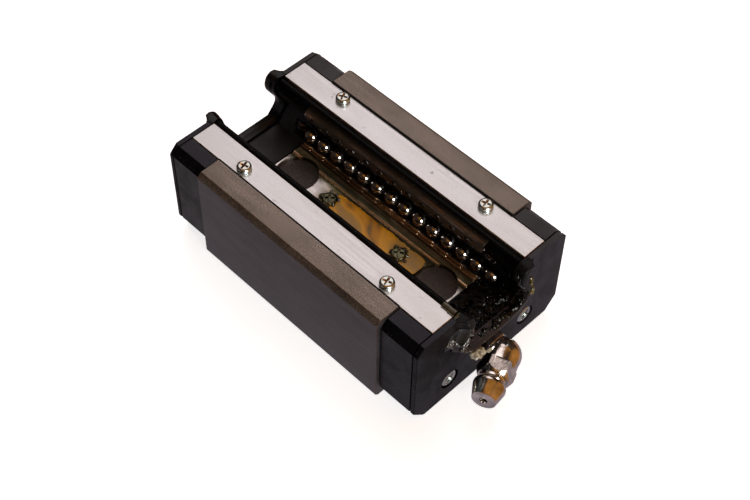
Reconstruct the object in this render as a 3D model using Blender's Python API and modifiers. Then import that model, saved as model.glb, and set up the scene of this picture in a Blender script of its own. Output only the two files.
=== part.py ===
"""Linear guide carriage: a caged-ball block for a 28 mm wide profile rail.

The carriage lies on its mounting face, so the rail channel opens upwards.
X runs along the rail, towards the grease nipple; Y runs across it.
Metres, +Z up. The origin is the centre of the mounting face.
"""
import math

import bmesh
import bpy

# Driving dimensions
BLOCK_WIDTH = 0.0600
BLOCK_LENGTH = 0.0707
BLOCK_HEIGHT = 0.0344
BLOCK_TOP_CHAMFER = 0.0015
BLOCK_FOOT_CHAMFER = 0.0010
PLATE_OUTER_X = 0.0470          # outer face of an end plate
SEAL_OUTER_X = 0.0488           # outer face of an end seal's plate
LIP_OUTER_X = 0.0510            # where the end seal's lip ends
CAP_HALF_WIDTH = 0.0289
CAP_FOOT_Z = 0.0014
CAP_TOP_Z = 0.03385
CAP_TOP_CHAMFER = 0.0025
CAP_FOOT_CHAMFER = 0.0034
SEAL_FOOT_Z = 0.0005            # the end seal's plate reaches a little lower than the end plate
WALL_Y = 0.0146                 # side wall of the rail channel
CEILING_Z = 0.0159              # floor of the rail channel as it lies here
BALL_RADIUS = 0.004762 / 2
BALL_PITCH = 0.0056
BALLS_IN_ROW = 14
ROW_PHASE = 0.0015              # how far the loaded rows have moved along X as it lies here
ROW_A = (0.0127, 0.0179)        # centre of the row beside the rail's top
ROW_B = (0.0131, 0.0270)        # centre of the row beside the rail's neck
GROOVE_RADIUS = 0.00255
PASSAGE_RADIUS = 0.00280
RUN_OUT_RADIUS = 0.00265
LINER_RADIUS = 0.0032
STRIP_INNER_Y = 0.01364
STRIP_OUTER_Y = 0.0216
STRIP_TOP_Z = 0.03393
STRIP_THICKNESS = 0.00093
STRIP_SCREW = (0.0280, 0.0190)
MOUNT_HOLE_SPACING = 0.0400
MOUNT_HOLE_RADIUS = 0.0034      # tap drill for M8
MOUNT_HOLE_DEPTH = 0.0120
END_SCREW = (0.0152, 0.0079)
CEILING_SCREW_X = 0.0140
CEILING_SCREW = (0.0023, 0.0008, 0.0010, 0.0048)    # head radius and height, shank radius and length
STRIP_SCREW_SIZE = (0.00215, 0.0015, 0.00105, 0.0042)
END_SCREW_SIZE = (0.0029, 0.0016, 0.0014, 0.0190)
SMALL_HOLE_RADIUS = 0.00135     # round the strip and ceiling screws
END_HOLE_RADIUS = 0.0017
RETAINER_THICKNESS = 0.0009
CEILING_WINDOW = (0.0279, 0.0066)
PORT_Z = 0.0093                 # height of the grease port
ELBOW_X = 0.0543                # where the elbow turns
ELBOW_ANGLE = math.radians(22.5)
HEX_ACROSS_FLATS = 0.0100
HEX_HEIGHT = 0.0024
STEM_RADIUS = 0.0029
GREASE_BORE = 0.0012
CHECK_BALL_RADIUS = 0.0014
CHECK_BALL_T = 0.01365          # its centre, along the head's axis
GUIDE_RADIUS = 0.0031           # nose of a turn guide
GUIDE_Z = (0.0146, 0.0302)
GAP = 0.0003                    # round a piece that touches another
SEAT = 0.0001                   # under a piece that rests on another
SMOOTH_ANGLE = math.radians(40)

# Worked out from them
HALF_LENGTH = BLOCK_LENGTH / 2
HALF_WIDTH = BLOCK_WIDTH / 2
PLATE_INNER_X = HALF_LENGTH + GAP
SEAL_INNER_X = PLATE_OUTER_X + GAP
RECESS_Z = STRIP_TOP_Z - STRIP_THICKNESS - SEAT
RECESS_Y = STRIP_OUTER_Y + 0.00035
TURN_RADIUS = 3 * BALL_PITCH / math.pi
TURN_X = BALL_PITCH * (BALLS_IN_ROW - 1) / 2
ROWS = {"a": ROW_A, "b": ROW_B}
SIDES = {"left": -1, "right": 1}
ENDS = {"front": 1, "rear": -1}

SEAL_MOUTH = [                  # the end lip's edge, half of it, along the rail's section
    (0.0092, 0.0177),
    (0.0136, 0.0223),
    (0.0090, 0.0289),
    (0.0087, 0.0316),
    (0.0097, 0.0333),
    (0.0113, 0.0345),
]
SEAL_ROOT = [                   # its outer side, from the lobe's top down
    (0.0129, 0.0341),
    (0.0140, 0.0322),
    (0.0120, 0.0287),
    (0.0158, 0.0222),
    (0.0100, 0.0160),
]

COLOURS = {                     # red, green, blue, metallic, roughness
    "block_steel": (0.135, 0.112, 0.098, 0.75, 0.55),
    "strip_steel": (0.62, 0.56, 0.56, 1.0, 0.42),
    "black_plastic": (0.010, 0.010, 0.012, 0.0, 0.38),
    "seal_plate": (0.008, 0.008, 0.010, 0.0, 0.45),
    "seal_rubber": (0.006, 0.006, 0.007, 0.0, 0.55),
    "zinc_screw": (0.55, 0.56, 0.54, 1.0, 0.28),
    "bearing_steel": (0.55, 0.55, 0.57, 1.0, 0.08),
    "guide_resin": (0.020, 0.018, 0.016, 0.0, 0.45),
    "retainer_steel": (0.30, 0.25, 0.20, 1.0, 0.35),
    "nickel": (0.62, 0.56, 0.53, 1.0, 0.14),
    "spring_steel": (0.50, 0.50, 0.50, 1.0, 0.30),
}


def clear_scene():
    for thing in list(bpy.data.objects):
        bpy.data.objects.remove(thing, do_unlink=True)


def new_collection(name):
    group = bpy.data.collections.new(name)
    bpy.context.scene.collection.children.link(group)
    return group


clear_scene()
PARTS = new_collection("linear_guide_carriage")
CUTTERS = new_collection("cutters")


def finish_of(name, slot):
    """The node's own material, from its slot's colour."""
    red, green, blue, metallic, roughness = COLOURS[slot]
    material = bpy.data.materials.new(name)
    material.use_nodes = True
    shader = material.node_tree.nodes["Principled BSDF"]
    shader.inputs["Base Color"].default_value = (red, green, blue, 1.0)
    shader.inputs["Metallic"].default_value = metallic
    shader.inputs["Roughness"].default_value = roughness
    return material


def add_object(name, mesh, slot):
    """An object in the parts collection, or a wire cutter when it has no slot."""
    thing = bpy.data.objects.new(name, mesh)
    if slot is None:
        thing.hide_render = True
        thing.display_type = "WIRE"
        CUTTERS.objects.link(thing)
    else:
        mesh.materials.clear()
        mesh.materials.append(finish_of(name, slot))
        PARTS.objects.link(thing)
    return thing


def arc(centre, radius, start, end, steps):
    """Points on an arc from start to end, in degrees."""
    turn = [math.radians(start + (end - start) * i / steps) for i in range(steps + 1)]
    return [(centre[0] + radius * math.cos(a), centre[1] + radius * math.sin(a)) for a in turn]


def circle(centre, radius, steps):
    return arc(centre, radius, 0, 360, steps)[:-1]


def mirrored(right):
    """A closed outline from its right half, whose ends meet their mirror images."""
    return right + [(-y, z) for y, z in reversed(right)]


def prism(name, outlines, low, high, slot, axis="X"):
    """A flat outline with thickness along X (outline in Y, Z) or Z (outline in X, Y)."""
    curve = bpy.data.curves.new(name, "CURVE")
    curve.dimensions = "2D"
    curve.fill_mode = "BOTH"
    curve.extrude = (high - low) / 2
    for outline in outlines:
        spline = curve.splines.new("POLY")
        spline.points.add(len(outline) - 1)
        for point, (across, up) in zip(spline.points, outline):
            point.co = (across, up, 0, 1)
        spline.use_cyclic_u = True
    guide = bpy.data.objects.new(name, curve)
    CUTTERS.objects.link(guide)
    if axis == "X":
        guide.location.x = (low + high) / 2
        guide.rotation_euler = (math.pi / 2, 0, math.pi / 2)
    else:
        guide.location.z = (low + high) / 2
    return from_curve(guide, slot)


def from_curve(guide, slot):
    """The curve's solid as a mesh object, with its caps welded on."""
    name = guide.name
    bpy.context.view_layer.update()
    evaluated = guide.evaluated_get(bpy.context.evaluated_depsgraph_get())
    mesh = bpy.data.meshes.new_from_object(evaluated)
    place = guide.matrix_world.copy()
    bpy.data.objects.remove(guide, do_unlink=True)
    form = bmesh.new()
    form.from_mesh(mesh)
    bmesh.ops.remove_doubles(form, verts=form.verts, dist=1e-6)
    bmesh.ops.recalc_face_normals(form, faces=form.faces)
    form.to_mesh(mesh)
    form.free()
    mesh.shade_smooth()
    mesh.set_sharp_from_angle(angle=SMOOTH_ANGLE)
    solid = add_object(name, mesh, slot)
    solid.matrix_world = place
    return solid


def cylinder(name, centre, radius, low, high, steps, slot=None, axis="X"):
    """A round bar along X or Z; centre is its place across that axis."""
    form = bmesh.new()
    bmesh.ops.create_cone(
        form, cap_ends=True, segments=steps, radius1=radius, radius2=radius, depth=high - low)
    mesh = bpy.data.meshes.new(name)
    form.to_mesh(mesh)
    form.free()
    mesh.shade_smooth()
    mesh.set_sharp_from_angle(angle=SMOOTH_ANGLE)
    bar = add_object(name, mesh, slot)
    middle = (low + high) / 2
    if axis == "X":
        bar.rotation_euler = (0, math.pi / 2, 0)
        bar.location = (middle, centre[0], centre[1])
    else:
        bar.location = (centre[0], centre[1], middle)
    return bar


def box(name, low, high):
    """A block-shaped cutter between two corners."""
    bpy.ops.mesh.primitive_cube_add(size=1)
    block = bpy.context.active_object
    block.name = name
    block.location = [(a + b) / 2 for a, b in zip(low, high)]
    block.scale = [b - a for a, b in zip(low, high)]
    block.hide_render = True
    block.display_type = "WIRE"
    for group in list(block.users_collection):
        group.objects.unlink(block)
    CUTTERS.objects.link(block)
    return block


def cut(thing, cutter, operation="DIFFERENCE"):
    step = thing.modifiers.new(cutter.name, "BOOLEAN")
    step.operation = operation
    step.solver = "EXACT"
    step.object = cutter
    return step


def turned(name, profile, steps, slot, closed=False):
    """A profile in the XZ plane, turned about Z; closed when it is a ring's section."""
    mesh = bpy.data.meshes.new(name)
    links = [(i, i + 1) for i in range(len(profile) - 1)]
    if closed:
        links.append((len(profile) - 1, 0))
    mesh.from_pydata([(r, 0, z) for r, z in profile], links, [])
    thing = add_object(name, mesh, slot)
    spin = thing.modifiers.new("turn", "SCREW")
    spin.angle = 2 * math.pi
    spin.steps = steps
    spin.render_steps = steps
    spin.use_merge_vertices = True
    spin.merge_threshold = 1e-6
    spin.use_smooth_shade = True
    return thing


def ball_mesh(name, radius):
    form = bmesh.new()
    bmesh.ops.create_icosphere(form, subdivisions=2, radius=radius)
    mesh = bpy.data.meshes.new(name)
    form.to_mesh(mesh)
    form.free()
    mesh.shade_smooth()
    return mesh


# Screws

def pan_screw(name, size):
    """A pan head screw along +Z with its seat at z = 0."""
    head_radius, head_height, shank_radius, length = size
    profile = [
        (0, head_height),
        (head_radius * 0.62, head_height),
        (head_radius * 0.92, head_height * 0.78),
        (head_radius, head_height * 0.45),
        (head_radius, 0),
        (shank_radius, 0),
        (shank_radius, -length),
        (0, -length),
    ]
    return turned(name, profile, 12, "zinc_screw")


def cross_recess(screw, size):
    """Two crossed slots in the screw's head."""
    head_radius, head_height = size[:2]
    arm = head_radius * 0.56
    slot_half = head_radius * 0.13
    bottom = head_height * 0.35
    slots = box(screw.name + "_slot", (-arm, -slot_half, bottom), (arm, slot_half, 2 * head_height))
    cross = box(screw.name + "_cross", (-slot_half, -arm, bottom), (slot_half, arm, 2 * head_height))
    for cutter in (slots, cross):
        cutter.matrix_basis = screw.matrix_basis @ cutter.matrix_basis
        cut(screw, cutter)


def strip_screw(side, number, x):
    screw = pan_screw("strip_screw_" + side + "_" + number, STRIP_SCREW_SIZE)
    screw.location = (x, SIDES[side] * STRIP_SCREW[1], STRIP_TOP_Z + SEAT)
    cross_recess(screw, STRIP_SCREW_SIZE)


def end_screw(end, side):
    screw = pan_screw("end_screw_" + end + "_" + side, END_SCREW_SIZE)
    screw.location = (ENDS[end] * (PLATE_OUTER_X + SEAT), SIDES[side] * END_SCREW[0], END_SCREW[1])
    screw.rotation_euler = (0, ENDS[end] * math.pi / 2, 0)
    cross_recess(screw, END_SCREW_SIZE)


def ceiling_screw(end):
    screw = pan_screw("ceiling_screw_" + end, CEILING_SCREW)
    screw.location = (ENDS[end] * CEILING_SCREW_X, 0, CEILING_Z + SEAT + RETAINER_THICKNESS + SEAT)
    cross_recess(screw, CEILING_SCREW)


# Steel block

def block_outline():
    """The block's section, with two ball grooves in each wall of the channel."""
    top = BLOCK_HEIGHT
    open_b = math.degrees(math.acos((WALL_Y - ROW_B[0]) / GROOVE_RADIUS))
    open_a = math.degrees(math.acos((WALL_Y - ROW_A[0]) / GROOVE_RADIUS))
    foot_a = 180 + math.degrees(math.asin((ROW_A[1] - CEILING_Z) / GROOVE_RADIUS))
    right = [
        (HALF_WIDTH - BLOCK_FOOT_CHAMFER, 0),
        (HALF_WIDTH, BLOCK_FOOT_CHAMFER),
        (HALF_WIDTH, top - BLOCK_TOP_CHAMFER),
        (HALF_WIDTH - BLOCK_TOP_CHAMFER, top),
        (RECESS_Y, top),
        (RECESS_Y, RECESS_Z),
        (WALL_Y, RECESS_Z),
    ]
    right += arc(ROW_B, GROOVE_RADIUS, open_b, -open_b, 7)
    right += arc(ROW_A, GROOVE_RADIUS, open_a, foot_a - 360, 10)
    return mirrored(right)


def steel_block():
    block = prism("steel_block", [block_outline()], -HALF_LENGTH, HALF_LENGTH, "block_steel")
    reach = HALF_LENGTH + 0.001
    for row, (row_y, row_z) in ROWS.items():
        for side, sign in SIDES.items():
            bore = sign * (row_y + 2 * TURN_RADIUS)
            cut(block, cylinder("return_bore", (bore, row_z), LINER_RADIUS + GAP, -reach, reach, 16))
    half = MOUNT_HOLE_SPACING / 2
    for x in (-half, half):
        for y in (-half, half):
            hole = cylinder("m8_hole", (x, y), MOUNT_HOLE_RADIUS, -0.001, MOUNT_HOLE_DEPTH, 12, axis="Z")
            cut(block, hole)
    for x in (-STRIP_SCREW[0], STRIP_SCREW[0]):
        for y in (-STRIP_SCREW[1], STRIP_SCREW[1]):
            depth = (RECESS_Z - 0.0038, RECESS_Z + 0.001)
            cut(block, cylinder("strip_hole", (x, y), SMALL_HOLE_RADIUS, *depth, 8, axis="Z"))
    for x in (-CEILING_SCREW_X, CEILING_SCREW_X):
        depth = (CEILING_Z - 0.0050, CEILING_Z + 0.001)
        cut(block, cylinder("ceiling_hole", (x, 0), SMALL_HOLE_RADIUS, *depth, 8, axis="Z"))
    for sign in ENDS.values():
        for y in (-END_SCREW[0], END_SCREW[0]):
            ends = sorted((sign * (HALF_LENGTH - 0.0095), sign * reach))
            cut(block, cylinder("end_hole", (y, END_SCREW[1]), END_HOLE_RADIUS, *ends, 8))
    return block


# End plates, with the passages in which the balls turn round

def end_plate_outline():
    right = [
        (CAP_HALF_WIDTH - CAP_FOOT_CHAMFER, CAP_FOOT_Z),
        (CAP_HALF_WIDTH, CAP_FOOT_Z + CAP_FOOT_CHAMFER),
        (CAP_HALF_WIDTH, CAP_TOP_Z - CAP_TOP_CHAMFER),
        (CAP_HALF_WIDTH - CAP_TOP_CHAMFER, CAP_TOP_Z),
        (RECESS_Y, CAP_TOP_Z),
        (RECESS_Y, RECESS_Z),
        (0.0140, RECESS_Z),
        (0.0140, 0.0312),
        (0.0107, 0.0299),
        (0.0103, 0.0289),
        (0.0149, 0.0224),
        (0.0100, 0.0166),
    ]
    return mirrored(right)


def turn_ring(name, sign_x, row, side):
    """The ring that a turn's passage follows, as a cutter."""
    row_y, row_z = ROWS[row]
    bpy.ops.mesh.primitive_torus_add(
        major_radius=TURN_RADIUS, minor_radius=PASSAGE_RADIUS, major_segments=14, minor_segments=8,
        location=(sign_x * TURN_X, SIDES[side] * (row_y + TURN_RADIUS), row_z))
    ring = bpy.context.active_object
    ring.name = name
    ring.hide_render = True
    ring.display_type = "WIRE"
    for group in list(ring.users_collection):
        group.objects.unlink(ring)
    CUTTERS.objects.link(ring)
    return ring


def guide_centre(side):
    return SIDES[side] * ((ROW_A[0] + ROW_B[0]) / 2 + TURN_RADIUS)


def turn_guide_outline(sign_x, side, radius, start_x):
    """A round nose towards the carriage's end, cut flat at start_x."""
    centre = (sign_x * TURN_X, guide_centre(side))
    nose = arc(centre, radius, -90, 90, 10)
    if sign_x < 0:
        nose = arc(centre, radius, 90, 270, 10)
    start = sign_x * start_x
    return nose + [(start, nose[-1][1]), (start, nose[0][1])]


def turn_guide(end, side):
    sign = ENDS[end]
    outline = turn_guide_outline(sign, side, GUIDE_RADIUS, PLATE_INNER_X + SEAT)
    name = "turn_guide_" + end + "_" + side
    guide = prism(name, [outline], GUIDE_Z[0], GUIDE_Z[1], "guide_resin", axis="Z")
    for row in ROWS:
        cut(guide, turn_ring("guide_groove", sign, row, side))


def end_plate(end):
    sign = ENDS[end]
    low, high = sorted((sign * PLATE_INNER_X, sign * PLATE_OUTER_X))
    plate = prism("end_plate_" + end, [end_plate_outline()], low, high, "black_plastic")
    for side in SIDES:
        pocket = turn_guide_outline(sign, side, GUIDE_RADIUS + GAP, PLATE_INNER_X - 0.001)
        cut(plate, prism("guide_pocket", [pocket], GUIDE_Z[0] - GAP, GUIDE_Z[1] + GAP, None, axis="Z"))
        for row, (row_y, row_z) in ROWS.items():
            cut(plate, turn_ring("turn_passage", sign, row, side))
            for y in (row_y, row_y + 2 * TURN_RADIUS):
                reach = sorted((sign * (PLATE_INNER_X - 0.001), sign * (TURN_X + 0.0054)))
                centre = (SIDES[side] * y, row_z)
                cut(plate, cylinder("run_out", centre, RUN_OUT_RADIUS, reach[0], reach[1], 10))
    for y in (-END_SCREW[0], END_SCREW[0]):
        through = (low - 0.001, high + 0.001)
        cut(plate, cylinder("end_screw_hole", (y, END_SCREW[1]), 0.0018, through[0], through[1], 8))
    port = sorted((sign * 0.0395, sign * (PLATE_OUTER_X + 0.001)))
    cut(plate, cylinder("grease_port", (0, PORT_Z), 0.0032, port[0], port[1], 12))
    feed = sorted((sign * (PLATE_INNER_X - 0.001), sign * 0.0400))
    cut(plate, cylinder("grease_feed", (0, PORT_Z), 0.0011, feed[0], feed[1], 8))


# End seals

def end_seal_lip(end):
    low, high = sorted((ENDS[end] * SEAL_INNER_X, ENDS[end] * LIP_OUTER_X))
    prism("end_seal_lip_" + end, [mirrored(SEAL_MOUTH + SEAL_ROOT)], low, high, "seal_rubber")


def end_seal_plate(end):
    right = [
        (CAP_HALF_WIDTH - CAP_FOOT_CHAMFER - 0.0010, SEAL_FOOT_Z),
        (CAP_HALF_WIDTH - CAP_FOOT_CHAMFER - 0.0003, SEAL_FOOT_Z + 0.0003),
        (CAP_HALF_WIDTH, CAP_FOOT_Z + CAP_FOOT_CHAMFER),
        (CAP_HALF_WIDTH, CAP_TOP_Z - CAP_TOP_CHAMFER),
        (CAP_HALF_WIDTH - CAP_TOP_CHAMFER, CAP_TOP_Z),
        (0.0139, CAP_TOP_Z),
        (0.0145, 0.0323),
        (0.0124, 0.0287),
        (0.0163, 0.0221),
        (0.0102, 0.0157),
    ]
    low, high = sorted((ENDS[end] * SEAL_INNER_X, ENDS[end] * SEAL_OUTER_X))
    plate = prism("end_seal_plate_" + end, [mirrored(right)], low, high, "seal_plate")
    for y in (-END_SCREW[0], END_SCREW[0]):
        cut(plate, cylinder("head_hole", (y, END_SCREW[1]), 0.0033, low - 0.001, high + 0.001, 16))
    cut(plate, cylinder("port_hole", (0, PORT_Z), 0.0033, low - 0.001, high + 0.001, 16))


# Bottom seals along the channel's mouth

def bottom_seal_strip(side):
    edges = sorted((SIDES[side] * STRIP_INNER_Y, SIDES[side] * STRIP_OUTER_Y))
    outline = [
        (-PLATE_OUTER_X, edges[0]),
        (PLATE_OUTER_X, edges[0]),
        (PLATE_OUTER_X, edges[1]),
        (-PLATE_OUTER_X, edges[1]),
    ]
    places = [(x, SIDES[side] * STRIP_SCREW[1]) for x in (-STRIP_SCREW[0], STRIP_SCREW[0])]
    holes = [circle(place, SMALL_HOLE_RADIUS, 12) for place in places]
    low = STRIP_TOP_Z - STRIP_THICKNESS
    prism("bottom_seal_strip_" + side, [outline] + holes, low, STRIP_TOP_Z, "strip_steel", axis="Z")


def bottom_seal_lip(side):
    sign = SIDES[side]
    section = [
        (0.0135, 0.0338),
        (0.0135, 0.0326),
        (0.0129, 0.0324),
        (0.0116, 0.0330),
        (0.01135, 0.0334),
        (0.0119, 0.0338),
    ]
    outline = [(sign * y, z) for y, z in section]
    reach = PLATE_OUTER_X - GAP
    prism("bottom_seal_lip_" + side, [outline], -reach, reach, "seal_rubber")


# Ball retainers in the channel

def ball_retainer(side):
    """The strip that keeps the outer row of balls in when the rail is out."""
    section = [
        (0.0101, 0.0279),
        (0.01075, 0.0298),
        (0.0116, 0.0306),
        (0.0143, 0.0306),
        (0.0143, 0.0299),
        (0.0122, 0.0299),
        (0.0109, 0.0290),
        (0.0103, 0.0277),
    ]
    outline = [(SIDES[side] * y, z) for y, z in section]
    reach = HALF_LENGTH - GAP
    prism("ball_retainer_" + side, [outline], -reach, reach, "guide_resin")


def ceiling_retainer():
    """The plate on the channel's floor, with ridges that keep the inner rows in."""
    low = CEILING_Z + SEAT
    top = low + RETAINER_THICKNESS
    right = [
        (0.0099, low),
        (0.0099, 0.0174),
        (0.0093, 0.0174),
        (0.0092, 0.0170),
        (0.0089, 0.0170),
        (0.0088, 0.0174),
        (0.0082, 0.0174),
        (0.0081, 0.0171),
        (0.0053, 0.0171),
        (0.0052, top),
    ]
    reach = HALF_LENGTH - GAP
    plate = prism("ceiling_retainer", [mirrored(right)], -reach, reach, "retainer_steel")
    for sign in (-1, 1):
        window = (sign * CEILING_WINDOW[0], 0)
        cut(plate, cylinder("window", window, CEILING_WINDOW[1], 0.015, 0.019, 24, axis="Z"))
        place = (sign * CEILING_SCREW_X, 0)
        cut(plate, cylinder("screw_hole", place, SMALL_HOLE_RADIUS, 0.015, 0.019, 8, axis="Z"))


# Ball circuits

def return_liner(row, side):
    centre = (SIDES[side] * (ROWS[row][0] + 2 * TURN_RADIUS), ROWS[row][1])
    rings = [circle(centre, LINER_RADIUS, 16), circle(centre, LINER_RADIUS - 0.0005, 16)]
    prism("return_liner_" + row + "_" + side, rings, -HALF_LENGTH, HALF_LENGTH, "guide_resin")


def ball_row(name, place, latitudes, steps):
    """A row of balls on their resin cage, which joins each ball to the next."""
    profile = []
    for i in reversed(range(BALLS_IN_ROW)):
        middle = BALL_PITCH * i - TURN_X
        for degrees in latitudes:
            angle = math.radians(degrees)
            profile.append((BALL_RADIUS * math.sin(angle), middle + BALL_RADIUS * math.cos(angle)))
    top = (0, TURN_X + BALL_RADIUS)
    bottom = (0, -TURN_X - BALL_RADIUS)
    balls = turned(name, [top] + profile + [bottom], steps, "bearing_steel")
    balls.location = place
    balls.rotation_euler = (0, math.pi / 2, 0)


def turn_balls(end, row, side):
    """Two balls in a turn on their piece of cage, with their origin on the turn's axis."""
    row_y, row_z = ROWS[row]
    name = "turn_balls_" + end + "_" + row + "_" + side
    places = []
    for degrees in (-30, 30):
        angle = math.radians(degrees)
        places.append((ENDS[end] * TURN_RADIUS * math.cos(angle), TURN_RADIUS * math.sin(angle), 0))
    balls = []
    for place in places:
        form = bmesh.new()
        bmesh.ops.create_uvsphere(form, u_segments=8, v_segments=4, radius=BALL_RADIUS)
        bmesh.ops.translate(form, verts=form.verts, vec=place)
        mesh = bpy.data.meshes.new(name)
        form.to_mesh(mesh)
        form.free()
        mesh.shade_smooth()
        balls.append(mesh)
    chain = add_object(name, balls[0], "bearing_steel")
    chain.location = (ENDS[end] * TURN_X, SIDES[side] * (row_y + TURN_RADIUS), row_z)
    chain.rotation_euler = (0, 0, SIDES[side] * ROW_PHASE / TURN_RADIUS)
    second = add_object("turn_second_ball", balls[1], None)
    link = cylinder("turn_link", (places[0][0], 0), 0.0010, places[0][1], places[1][1], 6)
    link.rotation_euler = (math.pi / 2, 0, 0)
    link.location = (places[0][0], 0, 0)
    for piece in (second, link):
        piece.parent = chain
        cut(chain, piece, "UNION")


def ball_circuits():
    fine = (34, 62, 90, 118, 146)
    plain = (45, 90, 135)
    for row, (row_y, row_z) in ROWS.items():
        for side, sign in SIDES.items():
            ending = row + "_" + side
            back_y = row_y + 2 * TURN_RADIUS
            ball_row("load_balls_" + ending, (ROW_PHASE, sign * row_y, row_z), fine, 8)
            ball_row("return_balls_" + ending, (-ROW_PHASE, sign * back_y, row_z), plain, 6)
            return_liner(row, side)
            for end in ENDS:
                turn_balls(end, row, side)


# Grease nipple, with its parts placed from an empty where the elbow turns

def elbow_empty():
    empty = bpy.data.objects.new("elbow_axis", None)
    empty.location = (ELBOW_X, 0, PORT_Z)
    empty.rotation_euler = (math.pi / 2, 0, ELBOW_ANGLE)
    PARTS.objects.link(empty)
    return empty


def nipple_adapter():
    """A hexagon on a bored stem."""
    hexagon = circle((0, 0), HEX_ACROSS_FLATS / 2 / math.cos(math.pi / 6), 6)
    outline = [(y, z + PORT_Z) for y, z in hexagon]
    seat = SEAL_OUTER_X + GAP
    adapter = prism("nipple_adapter", [outline], seat, seat + HEX_HEIGHT, "nickel")
    stem = cylinder("adapter_stem", (0, PORT_Z), STEM_RADIUS, 0.0400, seat + 0.001, 12)
    cut(adapter, stem, "UNION")
    cut(adapter, cylinder("adapter_bore", (0, PORT_Z), GREASE_BORE, 0.0390, seat + 0.004, 8))


def nipple_elbow(empty):
    """The knuckle: a round bar from the adapter that ends in a ball, and a tapered branch."""
    start = SEAL_OUTER_X + GAP + HEX_HEIGHT + SEAT
    bar = [
        (0.0, 0.0),
        (0.0046, 0.0),
        (0.0050, -0.0005),
        (0.0050, start - ELBOW_X),
        (0.0, start - ELBOW_X),
    ]
    elbow = turned("nipple_elbow", bar, 12, "nickel")
    elbow.location = (ELBOW_X, 0, PORT_Z)
    elbow.rotation_euler = (0, math.pi / 2, 0)
    form = bmesh.new()
    bmesh.ops.create_uvsphere(form, u_segments=12, v_segments=8, radius=0.0053)
    mesh = bpy.data.meshes.new("elbow_ball")
    form.to_mesh(mesh)
    form.free()
    ball = add_object("elbow_ball", mesh, None)
    ball.location = (ELBOW_X, 0, PORT_Z)
    cut(elbow, ball, "UNION")
    taper = [(0, 0.0084), (0.0043, 0.0084), (0.0048, 0.0079), (0.0053, 0.0040), (0.0053, 0), (0, 0)]
    branch = turned("elbow_branch", taper, 14, None)
    hollow = [(0, 0.0094), (0.0027, 0.0094), (0.0027, 0.0052), (0, 0.0052)]
    socket = turned("elbow_socket", hollow, 12, None)
    bore = [(0, 0.0060), (GREASE_BORE, 0.0060), (GREASE_BORE, -0.0004), (0, -0.0004)]
    passage = turned("elbow_passage", bore, 8, None)
    for cutter in (branch, socket, passage):
        cutter.parent = empty
    cut(elbow, branch, "UNION")
    cut(elbow, box("elbow_face", (0.040, -0.010, 0), (start, 0.010, 0.020)))
    cut(elbow, socket)
    cut(elbow, passage)
    cut(elbow, cylinder("elbow_bore", (0, PORT_Z), GREASE_BORE, start - 0.001, ELBOW_X + 0.0004, 8))


def nipple_head(empty):
    """The grease gun's head: a shank in the elbow, a neck, a cone and a ball seat."""
    section = [
        (0.00115, 0.0157),
        (0.0034, 0.0157),
        (0.0046, 0.0114),
        (0.0046, 0.0105),
        (0.0040, 0.0093),
        (0.0040, 0.0085),
        (0.0024, 0.0085),
        (0.0024, 0.0056),
        (0.0011, 0.0056),
        (0.0011, 0.0104),
        (0.0018, 0.0104),
        (0.0018, 0.0144),
        (0.00115, 0.0150),
    ]
    turned("nipple_head", section, 16, "nickel", closed=True).parent = empty


def check_ball(empty):
    ball = add_object("check_ball", ball_mesh("check_ball", CHECK_BALL_RADIUS), "bearing_steel")
    ball.parent = empty
    ball.location.z = CHECK_BALL_T


def check_spring(empty):
    """A coil behind the check ball."""
    start, end = 0.0106, CHECK_BALL_T - CHECK_BALL_RADIUS - 0.00035
    turns, steps = 3, 8
    wire = bpy.data.curves.new("check_spring", "CURVE")
    wire.dimensions = "3D"
    wire.bevel_depth = 0.00014
    wire.bevel_resolution = 0
    wire.use_fill_caps = True
    spline = wire.splines.new("POLY")
    count = int(turns * steps)
    spline.points.add(count)
    for i, point in enumerate(spline.points):
        angle = 2 * math.pi * i / steps
        rise = start + (end - start) * i / count
        point.co = (0.0011 * math.cos(angle), 0.0011 * math.sin(angle), rise, 1)
    coil = bpy.data.objects.new("check_spring", wire)
    CUTTERS.objects.link(coil)
    coil.parent = empty
    from_curve(coil, "spring_steel")


def port_plug():
    """The slotted plug in the port that has no nipple."""
    plug = cylinder("port_plug", (0, PORT_Z), STEM_RADIUS, -0.0479, -0.0420, 12, "zinc_screw")
    cut(plug, box("plug_slot", (-0.0490, -0.0020, PORT_Z - 0.0004), (-0.0470, 0.0020, PORT_Z + 0.0004)))


def build():
    steel_block()
    for end in ENDS:
        end_plate(end)
        end_seal_plate(end)
        end_seal_lip(end)
        ceiling_screw(end)
    for side in SIDES:
        bottom_seal_strip(side)
        bottom_seal_lip(side)
        ball_retainer(side)
        strip_screw(side, "1", -STRIP_SCREW[0])
        strip_screw(side, "2", STRIP_SCREW[0])
        for end in ENDS:
            turn_guide(end, side)
            end_screw(end, side)
    ceiling_retainer()
    ball_circuits()
    empty = elbow_empty()
    nipple_adapter()
    nipple_elbow(empty)
    nipple_head(empty)
    check_ball(empty)
    check_spring(empty)
    port_plug()


build()
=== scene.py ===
"""The looks of a linear guide carriage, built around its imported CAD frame.

The carriage lies on its mounting face with the rail channel open upwards. Metres, +Z up.
"""
import random
from math import copysign, cos, pi, radians, sin, sqrt

import bmesh
import bpy
from mathutils import Matrix, Vector, noise
from mathutils.bvhtree import BVHTree


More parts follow.
